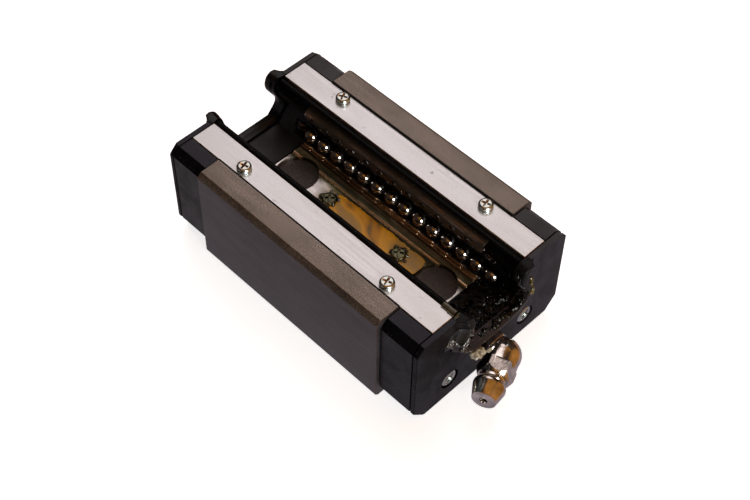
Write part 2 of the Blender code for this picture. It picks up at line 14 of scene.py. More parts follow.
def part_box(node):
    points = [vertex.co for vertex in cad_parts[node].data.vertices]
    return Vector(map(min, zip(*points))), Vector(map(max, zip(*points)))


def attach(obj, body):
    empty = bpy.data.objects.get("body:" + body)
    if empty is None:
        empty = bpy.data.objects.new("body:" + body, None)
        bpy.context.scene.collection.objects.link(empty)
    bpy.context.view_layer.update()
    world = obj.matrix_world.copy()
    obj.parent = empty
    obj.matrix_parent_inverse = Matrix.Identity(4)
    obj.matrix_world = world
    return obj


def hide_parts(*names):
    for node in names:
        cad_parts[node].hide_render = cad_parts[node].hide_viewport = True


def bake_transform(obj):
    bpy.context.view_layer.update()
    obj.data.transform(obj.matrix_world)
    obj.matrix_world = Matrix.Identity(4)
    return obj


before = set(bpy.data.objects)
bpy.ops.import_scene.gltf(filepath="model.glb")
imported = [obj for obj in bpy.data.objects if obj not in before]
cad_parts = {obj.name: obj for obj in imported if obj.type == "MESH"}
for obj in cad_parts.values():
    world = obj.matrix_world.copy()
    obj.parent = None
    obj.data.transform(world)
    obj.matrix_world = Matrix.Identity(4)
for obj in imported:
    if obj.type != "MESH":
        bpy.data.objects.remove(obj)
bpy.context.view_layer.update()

SIDES = {"left": -1, "right": 1}
ENDS = {"front": 1, "rear": -1}

BALL_RADIUS = 0.004762 / 2
BALLS_IN_ROW = 14
BALL_PITCH = 0.0056
SPACER_RADIUS = 0.00095
CHECK_BALL_RADIUS = 0.0014
CHECK_BALL_Z = 0.01365          # its centre, along the nipple head's axis
NIPPLE_ANGLE = radians(22.5)

# Where the frame puts things
BLOCK_LOW, BLOCK_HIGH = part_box("steel_block")
LIP_LOW, LIP_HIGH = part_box("end_seal_lip_front")
SEAL_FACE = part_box("end_seal_plate_front")[1].x
FLOOR_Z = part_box("ceiling_retainer")[0].z


# Meshes

def new_object(name, data):
    made = bpy.data.objects.new(name, data)
    bpy.context.scene.collection.objects.link(made)
    return made


def middle_of(node):
    low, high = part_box(node)
    return Vector([(low[k] + high[k]) / 2 for k in range(3)])


def paint(mesh, *finishes):
    """Gives the mesh these finishes in order."""
    mesh.materials.clear()
    for finish in finishes:
        mesh.materials.append(FINISHES[finish])


def add_piece(name, mesh, finish, slot, body="carriage", replaces=()):
    """A finer piece that rides on a CAD body and stands for CAD nodes."""
    mesh.name = name
    piece = new_object(name, mesh)
    if finish:
        paint(mesh, finish)
    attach(piece, body)
    if replaces:
        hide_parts(*replaces)


def shaded(mesh, angle):
    """The mesh shaded smooth, but sharp where faces meet at more than angle degrees."""
    mesh.shade_smooth()
    mesh.set_sharp_from_angle(angle=radians(angle))
    return mesh


def new_mesh(form, angle=32):
    mesh = bpy.data.meshes.new("mesh")
    bmesh.ops.recalc_face_normals(form, faces=form.faces)
    form.to_mesh(mesh)
    form.free()
    return shaded(mesh, angle)


def rounded(points, rounds=2, share=0.25, closed=True):
    """A polyline with its corners cut off again and again, which rounds them."""
    for _ in range(rounds):
        finer = []
        count = len(points)
        for i in range(count if closed else count - 1):
            first, second = Vector(points[i]), Vector(points[(i + 1) % count])
            finer.append(tuple(first.lerp(second, share)))
            finer.append(tuple(first.lerp(second, 1 - share)))
        if not closed:
            finer = [tuple(points[0])] + finer[1:-1] + [tuple(points[-1])]
        points = finer
    return points


def circle(radius, steps, centre=(0, 0)):
    turn = [2 * pi * i / steps for i in range(steps)]
    return [(centre[0] + radius * cos(a), centre[1] + radius * sin(a)) for a in turn]


def rectangle(a, b, c, d):
    return [(a, b), (c, b), (c, d), (a, d)]


def bevel(form, edges, width):
    bmesh.ops.bevel(form, geom=edges, offset=width, segments=2, profile=0.5, affect="EDGES",
                    clamp_overlap=True)


def prism(outline, low, high, axis="X", edge=0.0):
    """A bmesh prism along X (outline in Y, Z) or Z (outline in X, Y), its end edges rounded."""
    form = bmesh.new()
    along_x = axis == "X"
    corners = [form.verts.new((low, a, b) if along_x else (a, b, low)) for a, b in outline]
    grown = bmesh.ops.extrude_face_region(form, geom=[form.faces.new(corners)])
    moved = [g for g in grown["geom"] if isinstance(g, bmesh.types.BMVert)]
    rise = high - low
    bmesh.ops.translate(form, verts=moved, vec=(rise, 0, 0) if along_x else (0, 0, rise))
    bmesh.ops.recalc_face_normals(form, faces=form.faces)
    if edge:
        k = 0 if along_x else 2
        level = [e for e in form.edges if abs(e.verts[0].co[k] - e.verts[1].co[k]) < 1e-7]
        bevel(form, level, edge)
    return form


def band(form, first, second):
    """Faces between two closed rings of corners."""
    for i in range(len(first)):
        j = (i + 1) % len(first)
        form.faces.new((first[i], first[j], second[j], second[i]))


def turned(profile, steps, form=None, place=Matrix.Identity(4)):
    """A profile of (radius, z) turned about Z; a radius of 0 closes it."""
    form = form or bmesh.new()
    rings = []
    for radius, z in profile:
        points = circle(radius, steps) if radius > 1e-9 else [(0, 0)]
        rings.append([form.verts.new(place @ Vector((a, b, z))) for a, b in points])
    for lower, upper in zip(rings, rings[1:]):
        for i in range(steps):
            j = (i + 1) % steps
            corners = [lower[i % len(lower)], lower[j % len(lower)],
                       upper[j % len(upper)], upper[i % len(upper)]]
            corners = list(dict.fromkeys(corners))
            if len(corners) > 2:
                form.faces.new(corners)
    return form


def capped(profile, steps, place):
    """A turned profile with flat ends."""
    ends = [(0, profile[0][1])], [(0, profile[-1][1])]
    return turned(ends[0] + profile + ends[1], steps, place=place)


def evaluated_mesh(thing):
    bpy.context.view_layer.update()
    depsgraph = bpy.context.evaluated_depsgraph_get()
    return bpy.data.meshes.new_from_object(thing.evaluated_get(depsgraph))


def combined(base, *steps):
    """The mesh of base after Booleans: (operation, shape) pairs. A shape is a bmesh or a mesh."""
    helpers = []
    for shape in [base] + [step[1] for step in steps]:
        mesh = shape if isinstance(shape, bpy.types.Mesh) else new_mesh(shape)
        helpers.append(new_object("boolean_helper", mesh))
    body = helpers[0]
    for (operation, _), helper in zip(steps, helpers[1:]):
        change = body.modifiers.new("change", "BOOLEAN")
        change.operation = operation
        change.solver = "EXACT"
        change.object = helper
    result = evaluated_mesh(body)
    for helper in helpers:
        bpy.data.objects.remove(helper, do_unlink=True)
    return result


def softened(mesh, width, sharp, flat, chosen=None):
    """A bmesh of the mesh without its flat edges, and with the sharp ones rounded (degrees)."""
    form = bmesh.new()
    form.from_mesh(mesh)
    bmesh.ops.remove_doubles(form, verts=form.verts, dist=2e-6)
    bmesh.ops.dissolve_limit(form, angle_limit=radians(flat), verts=form.verts, edges=form.edges)
    edges = [e for e in form.edges if e.is_manifold and e.calc_face_angle(0) > radians(sharp)]
    bevel(form, [e for e in edges if chosen is None or chosen(e)], width)
    return form


def refined(node, chosen, width, sharp=25):
    """A copy of a CAD node's mesh with the sharp edges that chosen() picks rounded off."""
    form = softened(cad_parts[node].data, width, sharp, 1.0, chosen)
    mesh = bpy.data.meshes.new(node)
    form.to_mesh(mesh)
    form.free()
    return shaded(mesh, 20)


# Finishes

class Nodes:
    """The few node steps that the finishes and the studio's sky share."""

    def __init__(self, tree):
        self.tree = tree

    def node(self, kind, **settings):
        made = self.tree.nodes.new("ShaderNode" + kind)
        for key, value in settings.items():
            setattr(made, key, value)
        return made

    def feed(self, socket, value):
        """Puts a number, a colour or another socket into a socket."""
        if isinstance(value, bpy.types.NodeSocket):
            self.tree.links.new(value, socket)
        elif isinstance(value, (int, float)):
            socket.default_value = value
        else:
            socket.default_value = (*value, 1)

    def ramp(self, source, *stops):
        """stops are (position, colour) pairs in order."""
        made = self.node("ValToRGB")
        band = made.color_ramp
        while len(band.elements) < len(stops):
            band.elements.new(0.5)
        for element, (position, colour) in zip(band.elements, stops):
            element.position = position
            element.color = (*colour, 1)
        self.feed(made.inputs["Fac"], source)
        return made.outputs["Color"]

    def level(self, source, low, high, start=0.3, end=0.7, **settings):
        """source from start..end mapped to low..high."""
        made = self.node("MapRange", **settings)
        names = ("Value", "From Min", "From Max", "To Min", "To Max")
        for name, value in zip(names, (source, start, end, low, high)):
            self.feed(made.inputs[name], value)
        return made.outputs["Result"]

    def mix(self, factor, first, second, blend="MIX"):
        made = self.node("Mix", data_type="RGBA", blend_type=blend)
        for socket, value in ((0, factor), (6, first), (7, second)):
            self.feed(made.inputs[socket], value)
        return made.outputs[2]

    def times(self, first, second):
        return self.mix(1.0, first, second, "MULTIPLY")


class Finish(Nodes):
    """A Principled material whose patterns lie in the object's own space."""

    def __init__(self, name, colour, metallic=0.0, roughness=0.5, specular=0.5, coat=0.0):
        self.material = bpy.data.materials.new(name)
        self.material.use_nodes = True
        super().__init__(self.material.node_tree)
        self.shader = self.tree.nodes["Principled BSDF"]
        for socket, value in (("Base Color", colour), ("Metallic", metallic),
                              ("Roughness", roughness), ("Specular IOR Level", specular),
                              ("Coat Weight", coat), ("Coat Roughness", 0.08)):
            self.put(socket, value)
        self.place = self.node("TexCoord").outputs["Object"]

    def put(self, socket, value):
        self.feed(self.shader.inputs[socket], value)

    def noise(self, scale, detail=3.0, stretch=1, distortion=0.0):
        """Noise with scale features a metre, drawn out along the rail by a small stretch."""
        mapping = self.node("Mapping")
        mapping.inputs["Scale"].default_value = (stretch, 1, 1)
        self.feed(mapping.inputs["Vector"], self.place)
        texture = self.node("TexNoise")
        for socket, value in (("Vector", mapping.outputs["Vector"]), ("Scale", scale),
                              ("Detail", detail), ("Distortion", distortion)):
            self.feed(texture.inputs[socket], value)
        return texture.outputs["Fac"]

    def axis(self, name):
        split = self.node("SeparateXYZ")
        self.feed(split.inputs["Vector"], self.place)
        return split.outputs[name]

    def maths(self, operation, *values):
        made = self.node("Math", operation=operation)
        for socket, value in zip(made.inputs, values):
            self.feed(socket, value)
        return made.outputs[0]

    def colour(self, source):
        self.put("Base Color", source)

    def roughness(self, source):
        self.put("Roughness", source)

    def bump(self, source, depth):
        """depth is the height of the relief in metres."""
        made = self.node("Bump")
        self.feed(made.inputs["Distance"], depth)
        self.feed(made.inputs["Height"], source)
        self.put("Normal", made.outputs["Normal"])


def phosphated_steel(name, dark, light, roughness):
    finish = Finish(name, light, metallic=0.45, roughness=roughness)
    grain = finish.noise(4300, 2.0)
    patches = finish.noise(190, 5.0, stretch=0.5)
    streaks = finish.noise(900, 2.0, stretch=0.03)
    tone = finish.ramp(grain, (0.38, dark), (0.62, light))
    cloud = finish.ramp(patches, (0.35, (0.8, 0.78, 0.76)), (0.65, (1.14, 1.12, 1.1)))
    fine = finish.ramp(streaks, (0.35, (0.9, 0.89, 0.89)), (0.65, (1.06, 1.06, 1.06)))
    finish.colour(finish.times(finish.times(tone, cloud), fine))
    finish.roughness(finish.level(patches, roughness - 0.06, roughness + 0.08))
    finish.bump(grain, 0.00003)
    return finish.material


def strip_steel():
    """Rolled strip with fine brushing along the rail, faint spots and a few smudges."""
    finish = Finish("strip_steel", (0.7, 0.62, 0.61), metallic=1.0, roughness=0.4)
    brushing = finish.noise(5200, 2.0, stretch=0.012)
    mottle = finish.noise(1500, 3.0)
    spots = finish.noise(520, 2.0, stretch=0.6, distortion=0.6)
    sheen = finish.noise(60, 2.0, stretch=0.5)
    base = finish.ramp(brushing, (0.25, (0.745, 0.75, 0.78)), (0.75, (0.82, 0.83, 0.865)))
    for pattern, dark in ((mottle, (0.95, 0.94, 0.94)), (sheen, (0.95, 0.94, 0.93))):
        cloud = finish.ramp(pattern, (0.3, dark), (0.7, (1.03, 1.03, 1.03)))
        base = finish.times(base, cloud)
    base = finish.mix(finish.level(spots, 0.0, 0.55, 0.7, 0.75), base, (0.22, 0.19, 0.18))
    finish.colour(base)
    finish.roughness(finish.level(brushing, 0.38, 0.5))
    finish.bump(brushing, 0.000003)
    return finish.material


def plain_metal(name, colour, roughness, grain_scale=2500, spread=0.15, depth=0.00001):
    """A metal with slight cloudiness and a fine grain."""
    finish = Finish(name, colour, metallic=1.0, roughness=roughness)
    clouds = finish.noise(grain_scale * 0.2, 3.0)
    grain = finish.noise(grain_scale, 2.0)
    dark = tuple(c * (1 - spread) for c in colour)
    light = tuple(min(1.0, c * (1 + spread)) for c in colour)
    finish.colour(finish.ramp(clouds, (0.3, dark), (0.7, light)))
    finish.roughness(finish.level(clouds, roughness * 0.75, roughness * 1.35))
    finish.bump(grain, depth)
    return finish.material


def black_plastic(name, colour, roughness, specular, oil=0.3, painted_light_fade=None):
    """Glass-filled moulding: a fine texture, with an oily film that comes and goes.

    The last argument, (axis, from, to, colour), is painted light: a lighter colour that sets in
    along that axis, for light falling unevenly on the part.
    """
    finish = Finish(name, colour, roughness=roughness, specular=specular)
    texture = finish.noise(4200, 2.0)
    film = finish.noise(150, 4.0, distortion=0.4)
    dust = finish.noise(2400, 1.0)
    dark = tuple(c * 0.7 for c in colour)
    light = tuple(c * 1.5 for c in colour)
    base = finish.ramp(film, (0.3, dark), (0.7, light))
    # painted light: blends the lighter colour in along the axis
    if painted_light_fade:
        axis, start, end, lit_colour = painted_light_fade
        base = finish.mix(finish.level(finish.axis(axis), 0.0, 1.0, start, end), base, lit_colour)
    finish.colour(finish.mix(finish.level(dust, 0.0, 0.6, 0.73, 0.78), base, (0.13, 0.14, 0.17)))
    finish.roughness(finish.level(film, roughness - oil * 0.4, roughness + oil * 0.4, 0.35, 0.65))
    finish.bump(texture, 0.00002)
    return finish.material


def oily_retainer(name, dark, light, green, roughness):
    """Metal under old oil: streaked along the rail, brown to greenish."""
    finish = Finish(name, light, metallic=0.7, roughness=roughness)
    streaks = finish.noise(420, 4.0, stretch=0.12, distortion=0.5)
    blots = finish.noise(330, 4.0, stretch=0.5, distortion=0.8)
    base = finish.ramp(streaks, (0.28, dark), (0.55, light), (0.8, dark))
    finish.colour(finish.mix(finish.level(blots, 0.0, 0.85, 0.42, 0.66), base, green))
    finish.roughness(finish.level(blots, roughness * 0.5, roughness * 1.6))
    finish.bump(blots, 0.00008)
    return finish.material


def ceiling_plate():
    """Bright steel under films of old oil that lie in bands along the rail, with painted highlights
    along the ridges and painted shade beside them.
    """
    finish = Finish("ceiling_plate", (0.6, 0.56, 0.54), metallic=0.85, roughness=0.25)
    across = finish.maths("ABSOLUTE", finish.axis("Y"))
    wander = finish.noise(300, 3.0, stretch=0.2)
    place = finish.maths("ADD", finish.maths("MULTIPLY", wander, 0.0008), across)
    # oil-film tones across the plate; the narrow bright bands are painted highlights on the ridges,
    # the near-black ones beside them painted shade
    oil_and_ridge_light = finish.ramp(
        finish.level(place, 0.0, 1.0, 0.0004, 0.0104),
        (0.00, (0.2, 0.16, 0.1)),
        (0.24, (0.19, 0.15, 0.08)),
        (0.33, (0.05, 0.042, 0.018)),
        (0.48, (0.07, 0.056, 0.024)),
        (0.505, (0.46, 0.32, 0.21)),
        (0.545, (0.42, 0.29, 0.18)),
        (0.575, (0.034, 0.028, 0.014)),
        (0.66, (0.046, 0.041, 0.02)),
        (0.74, (0.06, 0.04, 0.02)),
        (0.805, (0.012, 0.009, 0.007)),
        (0.83, (0.6, 0.38, 0.22)),
        (0.875, (0.46, 0.28, 0.16)),
        (0.9, (0.012, 0.009, 0.007)),
        (0.935, (0.62, 0.39, 0.22)),
        (0.98, (0.3, 0.18, 0.1)),
    )
    streaks = finish.noise(620, 3.0, stretch=0.05, distortion=0.3)
    blots = finish.noise(420, 3.0, stretch=0.5, distortion=0.5)
    dull = finish.ramp(streaks, (0.34, (0.3, 0.28, 0.26)), (0.62, (1.6, 1.52, 1.42)))
    oil_and_ridge_light = finish.times(oil_and_ridge_light, dull)
    oil_and_ridge_light = finish.mix(finish.level(blots, 0.0, 0.5, 0.5, 0.66), oil_and_ridge_light, (0.04, 0.042, 0.02))
    ends = finish.maths("MAXIMUM", finish.level(finish.axis("X"), 1.0, 0.0, -0.0195, -0.0155),
                        finish.level(finish.axis("X"), 0.0, 1.0, 0.03, 0.033))
    bare = finish.maths("MULTIPLY", ends, finish.level(across, 1.0, 0.0, 0.0022, 0.0042))
    finish.colour(finish.mix(bare, oil_and_ridge_light, (0.5, 0.47, 0.46)))
    finish.roughness(finish.level(blots, 0.16, 0.36))
    finish.bump(blots, 0.00003)
    return finish.material


def grease(name, colour, second, roughness=0.2, scale=420, depth=0.00004, coat=0.3, specular=0.5):
    finish = Finish(name, colour, roughness=roughness, specular=specular, coat=coat)
    swirl = finish.noise(scale, 4.0, distortion=1.2)
    bright = tuple(c * 1.25 for c in colour)
    finish.colour(finish.ramp(swirl, (0.3, second), (0.5, colour), (0.75, bright)))
    finish.bump(finish.noise(scale * 1.6, 5.0, distortion=0.6), depth)
    return finish.material


def amber_grease():
    """Fresh grease, swirled from tan through yellow to brown."""
    finish = Finish("amber_grease", (0.5, 0.25, 0.01), roughness=0.3, specular=0.22)
    swirl = finish.noise(72, 2.0, stretch=0.5, distortion=1.2)
    finish.colour(finish.ramp(
        swirl,
        (0.3, (0.34, 0.2, 0.055)),
        (0.4, (0.44, 0.24, 0.03)),
        (0.47, (0.7, 0.33, 0.004)),
        (0.545, (0.48, 0.2, 0.004)),
        (0.575, (0.19, 0.12, 0.02)),
        (0.61, (0.4, 0.22, 0.04)),
        (0.72, (0.36, 0.22, 0.07)),
    ))
    finish.bump(finish.noise(420, 3.0), 0.00002)
    return finish.material


def floor_finish():
    finish = Finish("floor", (0.88, 0.91, 0.96), roughness=0.8, specular=0.1)
    finish.put("Emission Color", (1, 1, 1))
    finish.put("Emission Strength", 0.8)
    return finish.material


FINISHES = {
    # lit and shaded copies of one steel: painted light on the top, painted shade on the sides,
    # chamfers and in the channel
    "steel_lit_top": phosphated_steel("steel_lit_top", (0.085, 0.07, 0.062), (0.41, 0.358, 0.325), 0.46),
    "steel_shaded_side": phosphated_steel("steel_shaded_side", (0.048, 0.043, 0.05), (0.122, 0.11, 0.124), 0.5),
    "steel_shaded_deep": phosphated_steel("steel_shaded_deep", (0.014, 0.009, 0.007), (0.055, 0.04, 0.034), 0.4),
    "steel_shaded_edge": phosphated_steel("steel_shaded_edge", (0.04, 0.03, 0.02), (0.15, 0.112, 0.08), 0.42),
    "strip": strip_steel(),
    "strip_edge": plain_metal("strip_edge", (0.62, 0.4, 0.26), 0.34, 1800, 0.3),
    # painted light: the end plates' black grows lighter towards the rear end
    "plastic": black_plastic("black_plastic", (0.0028, 0.0029, 0.0046), 0.36, 0.17,
                             painted_light_fade=("X", 0.0, -0.04, (0.014, 0.0145, 0.015))),
    # lit and shaded copies of the black plastic: painted shade on the chamfers, painted light on the
    # flat tops, lighter still towards +Y
    "shaded_plastic_chamfer": black_plastic("black_plastic_shaded_chamfer", (0.0022, 0.002, 0.0022), 0.32, 0.06),
    "lit_cap_top": black_plastic("lit_cap_top", (0.0165, 0.0165, 0.027), 0.36, 0.14,
                             painted_light_fade=("Y", 0.004, 0.022, (0.044, 0.042, 0.05))),
    # painted light: the seal plate's black grows lighter towards +Y
    "seal_plate": black_plastic("seal_plate", (0.0022, 0.0023, 0.0036), 0.34, 0.09,
                                painted_light_fade=("Y", 0.004, 0.022, (0.021, 0.019, 0.025))),
    "rubber": black_plastic("seal_rubber", (0.0028, 0.0026, 0.003), 0.26, 0.2),
    # painted sheen: the near lip grows lighter low down, for its upward-facing skirt lit from above
    "near_lip_painted_sheen": black_plastic("near_lip_painted_sheen", (0.0028, 0.0026, 0.003), 0.46, 0.16, 0.2,
                              ("Z", 0.027, 0.0205, (0.04, 0.032, 0.032))),
    "lip_rubber": black_plastic("lip_rubber", (0.0022, 0.002, 0.0022), 0.3, 0.05),
    "zinc": plain_metal("zinc_screw", (0.5, 0.52, 0.49), 0.2, 1400, 0.14),
    # painted shade and reflection: a darker brown copy of the screw metal for the recess walls
    "recess": plain_metal("screw_recess", (0.4, 0.25, 0.14), 0.3, 1400, 0.4),
    "ball": plain_metal("bearing_steel", (0.5, 0.46, 0.44), 0.05, 900, 0.05, 0.000001),
    "spacer": black_plastic("spacer_resin", (0.01, 0.006, 0.004), 0.35, 0.3),
    "liner": black_plastic("guide_resin", (0.02, 0.018, 0.016), 0.45, 0.4),
    "retainer": oily_retainer("retainer_face", (0.046, 0.031, 0.022), (0.23, 0.165, 0.12),
                              (0.046, 0.04, 0.026), 0.32),
    "ceiling": ceiling_plate(),
    "greasy_screw": plain_metal("greasy_screw", (0.11, 0.105, 0.062), 0.26, 900, 0.7, 0.00012),
    "nickel": plain_metal("nickel", (0.62, 0.56, 0.53), 0.13, 1700, 0.34, 0.000022),
    "spring": plain_metal("spring_steel", (0.5, 0.5, 0.5), 0.3),
    "amber": amber_grease(),
    "wet_grease": grease("wet_grease", (0.0022, 0.002, 0.002), (0.001, 0.001, 0.001), 0.06, 1500,
                         0.0002, 1.0, 1.0),
    "old_grease": grease("old_grease", (0.06, 0.054, 0.03), (0.018, 0.016, 0.01), 0.2, 700, 0.00006),
    "black_grease": grease("black_grease", (0.0022, 0.002, 0.002), (0.001, 0.001, 0.001), 0.12,
                           1300, 0.00016, 0.0, 0.34),
    "yellow_grease": grease("yellow_grease", (0.2, 0.165, 0.035), (0.05, 0.044, 0.014), 0.2, 900,
                            0.00008),
    "pale_grease": grease("pale_grease", (0.62, 0.6, 0.46), (0.24, 0.21, 0.14), 0.25, 900, 0.0001),
    "smear": grease("smear", (0.01, 0.013, 0.016), (0.005, 0.006, 0.008), 0.3, 500, 0.00003),
    # painted glints: a bright metal for tiny grains scattered on the grease
    "painted_glint": plain_metal("painted_glint", (0.42, 0.47, 0.51), 0.25),
    "floor": floor_finish(),
}


# Steel block

def steel_block():
    """The block with its outer edges just broken; its faces take lit and shaded copies of one steel:
    painted light on the top, painted shade on the sides and chamfers, and darker painted shade in
    the channel.
    """
    def outer(edge):
        first, second = ends = [v.co for v in edge.verts]
        at_end = all(abs(abs(p.x) - BLOCK_HIGH.x) < 1e-5 for p in ends)
        outside = all(abs(p.y) > 0.0135 or p.z > 0.031 or p.z < 1e-4 for p in ends)
        on_hole = abs(first.z - second.z) > 1e-5 and abs(first.y - second.y) > 1e-5
        chamfer = all(abs(p.y) > 0.028 for p in ends)
        along = abs(first.x - second.x) > 0.05 and all(abs(p.y) > 0.0205 for p in ends)
        return (at_end and outside and (not on_hole or chamfer)) or along

    mesh = refined("steel_block", outer, 0.00028)
    paint(mesh, "steel_lit_top", "steel_shaded_side", "steel_shaded_edge", "steel_shaded_deep")
    # painted light and shade: each face takes the copy for its facing, the channel's faces the
    # darkest
    for face in mesh.polygons:
        normal, middle = face.normal, face.center
        if abs(middle.y) < 0.0155 and middle.z > 0.01:
            face.material_index = 3
        elif abs(normal.z) > 0.95 and middle.z > 0.0343:
            face.material_index = 0
        elif max(abs(normal.y), abs(normal.x)) > 0.97 or normal.z < -0.9:
            face.material_index = 1
        else:
            face.material_index = 2
    add_piece("steel_block_fine", mesh, None, "block_steel", replaces=["steel_block"])


# End plates and end seals

def outline_edge(edge):
    """Whether an edge is on a plate's outer outline, away from its holes."""
    first, second = ends = [v.co for v in edge.verts]
    low = all(p.z < 0.0016 for p in ends)
    high = all(p.z > 0.0313 and abs(p.y) > 0.0139 for p in ends)
    side = all(abs(p.y) > 0.0249 for p in ends)
    return abs(first.x - second.x) < 1e-6 and (low or high or side)


def end_parts():
    kinds = (("end_plate_", "plastic", "black_plastic"),
             ("end_seal_plate_", "seal_plate", "seal_plate"))
    for end in ENDS:
        for node, finish, slot in kinds:
            mesh = refined(node + end, outline_edge, 0.00022)
            # painted light and shade by facing: upper slopes and chamfers take the shaded copy, flat
            # tops the lit one
            paint(mesh, finish, "shaded_plastic_chamfer", "lit_cap_top")
            for face in mesh.polygons:
                upper = face.center.z > 0.0255 and face.normal.z > 0.25
                face.material_index = (2 if face.normal.z > 0.95 else 1) if upper else 0
            add_piece(node + "fine_" + end, mesh, None, slot, replaces=[node + end])


# Right half: a point of the lip's edge, and the one that its root reaches
LIP_PAIRS = [
    ((0.0092, 0.0177), (0.0098, 0.0152)),
    ((0.0134, 0.0222), (0.0168, 0.0221)),
    ((0.009, 0.0288), (0.0129, 0.0287)),
    ((0.0087, 0.0314), (0.0146, 0.0316)),
    ((0.0095, 0.0336), (0.015, 0.033)),
    ((0.0112, 0.03445), (0.0152, 0.0337)),
]
# Distance from the lip's inner face, then how far its edge and its root are drawn in
LIP_LEVELS = [
    (0.0000, 0.1, 0.8),
    (0.00145, 0.05, 0.8),
    (0.00152, 0.04, 1.00),
    (0.0017, 0.03, 0.93),
    (0.0021, 0.01, 0.76),
    (0.0027, 0.00, 0.62),
    (0.0033, 0.00, 0.53),
    (0.0036, 0.03, 0.47),
    (0.0037, 0.09, 0.4),
]
LEFT_LOBE_LEAN = 0.0007         # the left lobes have been pressed outwards


def lip_curves():
    """The whole lip's edge and root, from the left lobe round to the right one, rounded alike."""
    edge, root = (rounded([pair[i] for pair in LIP_PAIRS], 3, 0.22, closed=False) for i in (0, 1))
    left_edge = []
    for y, z in edge:
        lobe = min(1.0, max(0.0, (z - 0.0285) / 0.003))
        left_edge.append((-y - LEFT_LOBE_LEAN * lobe, z))
    left_root = [(-y, z) for y, z in root]
    return left_edge[::-1] + edge, left_root[::-1] + root


def end_seal_lips():
    """A moulded lip: round lobes at the mouth, and a skirt that spreads onto the seal's plate."""
    edge, root = lip_curves()
    for end, sign in ENDS.items():
        form = bmesh.new()
        loops = []
        for depth, inset, width in LIP_LEVELS:
            x = sign * (LIP_LOW.x + depth)
            loop = []
            for share, order in ((inset, 1), (width, -1)):
                for near, far in list(zip(edge, root))[::order]:
                    y, z = Vector(near).lerp(Vector(far), share)
                    wave = noise.noise(Vector((x, y, z)) * 500) * 0.00008
                    loop.append(form.verts.new((x, y + wave, z)))
            loops.append(loop)
        count = len(loops[0])
        for first, second in zip(loops, loops[1:]):
            band(form, first, second)
        for loop in (loops[0], loops[-1]):
            for i in range(count // 2 - 1):
                form.faces.new((loop[i], loop[i + 1], loop[count - 2 - i], loop[count - 1 - i]))
        # the near lip takes the copy with painted sheen
        finish = "near_lip_painted_sheen" if sign > 0 else "rubber"
        add_piece("end_seal_lip_fine_" + end, new_mesh(form, 50), finish,
                  "seal_rubber", replaces=["end_seal_lip_" + end])


# Strips along the channel's mouth

LIP_SECTION = [(0.0135, 0.0333), (0.0135, 0.0326), (0.0129, 0.0324), (0.0116, 0.033),
               (0.01135, 0.0334), (0.0119, 0.0337), (0.0127, 0.0336)]
GAP_SHADE_WIDTH = 0.00048
SMALL_HOLE_RADIUS = 0.00135


def bottom_seals():
    for side, sign in SIDES.items():
        node = "bottom_seal_strip_" + side
        low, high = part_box(node)
        sheet = prism(rectangle(low.x, low.y, high.x, high.y), low.z, high.z, "Z", 0.00012)
        holes = []
        for number in "12":
            centre = middle_of("strip_screw_" + side + "_" + number)
            profile = [(SMALL_HOLE_RADIUS, low.z - 0.001), (SMALL_HOLE_RADIUS, high.z + 0.001)]
            hole = capped(profile, 24, Matrix.Translation((centre.x, centre.y, 0)))
            holes.append(("DIFFERENCE", hole))
        sheet = shaded(combined(sheet, *holes), 15)
        paint(sheet, "strip", "strip_edge")
        for face in sheet.polygons:
            face.material_index = 0 if abs(face.normal.z) > 0.9 else 1
        add_piece("bottom_seal_strip_fine_" + side, sheet, None, "strip_steel", replaces=[node])

        # painted shade: a thin black sheet on the block's top along the strip's outer edge stands
        # for the shadow in the gap
        near = high.y if sign > 0 else low.y
        outline = rectangle(BLOCK_LOW.x, near, BLOCK_HIGH.x, near + sign * GAP_SHADE_WIDTH)
        form = prism(outline, BLOCK_HIGH.z - 0.0002, BLOCK_HIGH.z + 0.00002, "Z")
        add_piece("strip_seam_" + side, new_mesh(form), "lip_rubber", "seal_rubber")

        low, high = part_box("bottom_seal_lip_" + side)
        form = prism([(sign * y, z) for y, z in rounded(LIP_SECTION)], low.x, high.x)
        add_piece("bottom_seal_lip_fine_" + side, new_mesh(form, 60), "lip_rubber", "seal_rubber",
                  replaces=["bottom_seal_lip_" + side])


# Screws

def cross_cutter(arm, half, bottom, top):
    """A Phillips recess: a cross that narrows towards its bottom."""
    form = bmesh.new()
    corners = []
    for quarter in range(4):
        turn = Matrix.Rotation(quarter * pi / 2, 2)
        corners += [turn @ Vector(p) for p in ((arm, half), (half, half), (half, arm))]
    rings = []
    for z, scale in ((bottom, 0.55), (top, 1.15)):
        rings.append([form.verts.new((a * scale, b * scale, z)) for a, b in corners])
    for ring in rings:
        form.faces.new(ring)
    band(form, *rings)
    return form


def pan_head(radius, height, shank, length):
    """A pan head with a round shoulder and a cross recess, on its shank."""
    profile = [(0, height)]
    for i in range(9):
        angle = pi / 2 * i / 8
        profile.append((radius * (0.62 + 0.38 * sin(angle)), height * (0.6 + 0.4 * cos(angle))))
    rim = ((1.0, 0.32), (0.93, 0.24), (0.95, 0.2), (1.0, 0.14), (0.98, 0))
    profile += [(radius * a, height * b) for a, b in rim]
    profile += [(shank, 0), (shank, -length), (0, -length)]
    recess = cross_cutter(radius * 0.72, radius * 0.19, height * 0.42, height * 1.4)
    return shaded(combined(turned(profile, 48), ("DIFFERENCE", recess)), 30)


